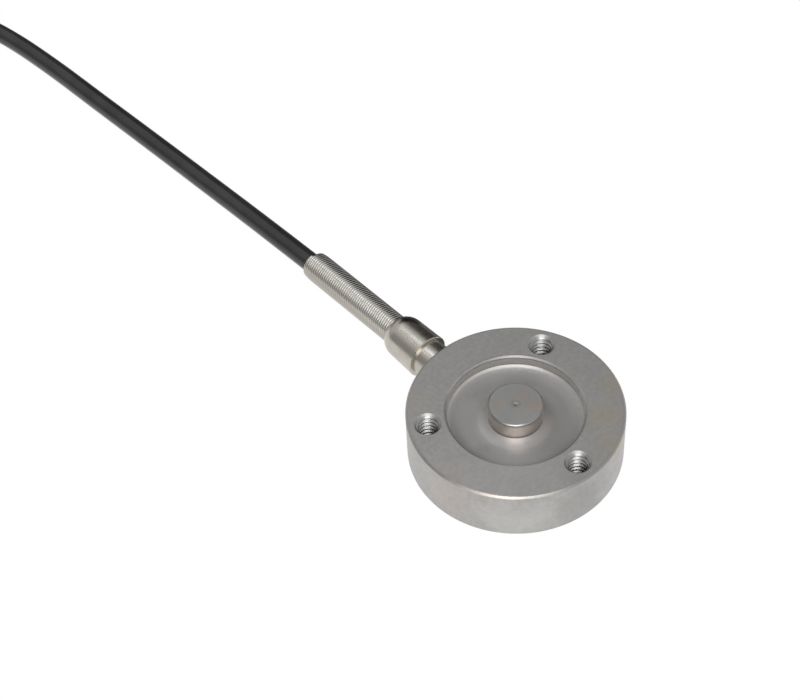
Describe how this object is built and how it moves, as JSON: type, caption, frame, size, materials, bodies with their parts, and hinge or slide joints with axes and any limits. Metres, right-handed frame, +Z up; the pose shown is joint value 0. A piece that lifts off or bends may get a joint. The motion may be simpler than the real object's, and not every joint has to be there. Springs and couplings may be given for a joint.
{
  "type": "compression force sensor",
  "caption": "Low-profile round compression load cell with a raised load button, tapped holes in its rim, and a side cable in a spring strain relief.",
  "frame": {"origin": "centre of the flat base, on the sensor's axis", "axes": "+Z up along the load axis, out of the load button; +Y out along the cable; +X to the right of the cable seen from above, with the cable pointing away"},
  "size_m": [0.0497, 0.2048, 0.0135],
  "materials": {
    "body_steel": "fine turned and bead-blasted stainless steel, matte",
    "cover_steel": "turned stainless steel, laser welded round its edge",
    "relief_steel": "polished turned stainless steel",
    "spring_steel": "drawn stainless spring wire, close wound",
    "cable_jacket": "black PVC jacket, satin",
    "tie_band": "black woven hook and loop band",
    "shrink_sleeve": "black heat-shrink tube",
    "lead_red": "red insulation",
    "lead_black": "black insulation",
    "lead_green": "green insulation",
    "lead_white": "white insulation",
    "tinned_copper": "tinned copper strands",
    "bare_copper": "enamelled copper wire",
    "crimp_brass": "brass, crimped",
    "seal_compound": "cast potting compound",
    "gauge_film": "polyimide foil gauge",
    "board": "glass-epoxy board",
    "resistor": "chip resistor with tinned ends"
  },
  "bodies": {
    "root": {"sensor_body": "body_steel", "bottom_cover": "cover_steel", "cable_neck": "relief_steel", "spring_collar": "relief_steel", "relief_spring": "spring_steel", "crimp_ferrule": "crimp_brass", "seal_plug": "seal_compound", "terminal_board": "board", "trim_resistor_1": "resistor", "trim_resistor_2": "resistor", "strain_gauge_1": "gauge_film", "strain_gauge_2": "gauge_film", "strain_gauge_3": "gauge_film", "strain_gauge_4": "gauge_film", "bridge_wires": "bare_copper", "core_red": "lead_red", "core_black": "lead_black", "core_green": "lead_green", "core_white": "lead_white", "cable_run": "cable_jacket", "cable_coil": "cable_jacket", "cable_tail": "cable_jacket", "coil_tie": "tie_band", "lead_sleeve": "shrink_sleeve", "lead_red": "lead_red", "lead_black": "lead_black", "lead_green": "lead_green", "lead_white": "lead_white", "lead_tips": "tinned_copper"}
  },
  "joints": []
}
